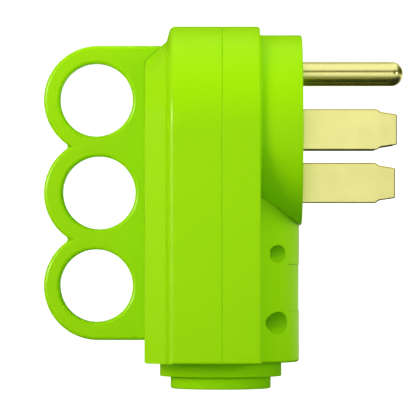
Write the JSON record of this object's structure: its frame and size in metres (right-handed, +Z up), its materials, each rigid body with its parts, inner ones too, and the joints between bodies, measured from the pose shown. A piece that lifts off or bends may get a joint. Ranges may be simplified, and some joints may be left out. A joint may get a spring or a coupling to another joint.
{
  "type": "rv power plug",
  "caption": "Angled power plug with flat blades and a round ground pin on a round nose, a split lime shell, a finger-ring pull handle and a stepped cord grommet below.",
  "frame": {"origin": "centre of the cord entry, on the plane of the grommet's lower end", "axes": "+X along the prongs away from the face, +Z up along the cord axis into the body, +Y completes the right hand"},
  "size_m": [0.1075, 0.0622, 0.1084],
  "materials": {
    "lime_shell": "satin moulded lime green",
    "lime_grommet": "soft satin lime green",
    "black_nylon": "moulded black nylon",
    "blade_brass": "pale satin brass",
    "pin_brass": "polished turned brass",
    "lug_brass": "sawn and drilled brass",
    "plated_steel": "zinc plated"
  },
  "bodies": {
    "root": {"front_shell": "lime_shell", "rear_shell": "lime_shell", "cord_grommet": "lime_grommet", "front_clamp_jaw": "black_nylon", "rear_clamp_jaw": "black_nylon", "terminal_block": "black_nylon", "hot_blade_x": "blade_brass", "hot_blade_y": "blade_brass", "neutral_blade": "blade_brass", "ground_pin": "pin_brass", "hot_lug_x": "lug_brass", "hot_lug_y": "lug_brass", "neutral_lug": "lug_brass", "ground_lug": "lug_brass", "hot_plate_x": "plated_steel", "hot_plate_y": "plated_steel", "neutral_plate": "plated_steel", "ground_plate": "plated_steel", "terminal_screws": "plated_steel", "blade_rivets": "lug_brass", "block_screws": "plated_steel", "cover_screws": "plated_steel", "clamp_screws": "plated_steel"}
  },
  "joints": []
}
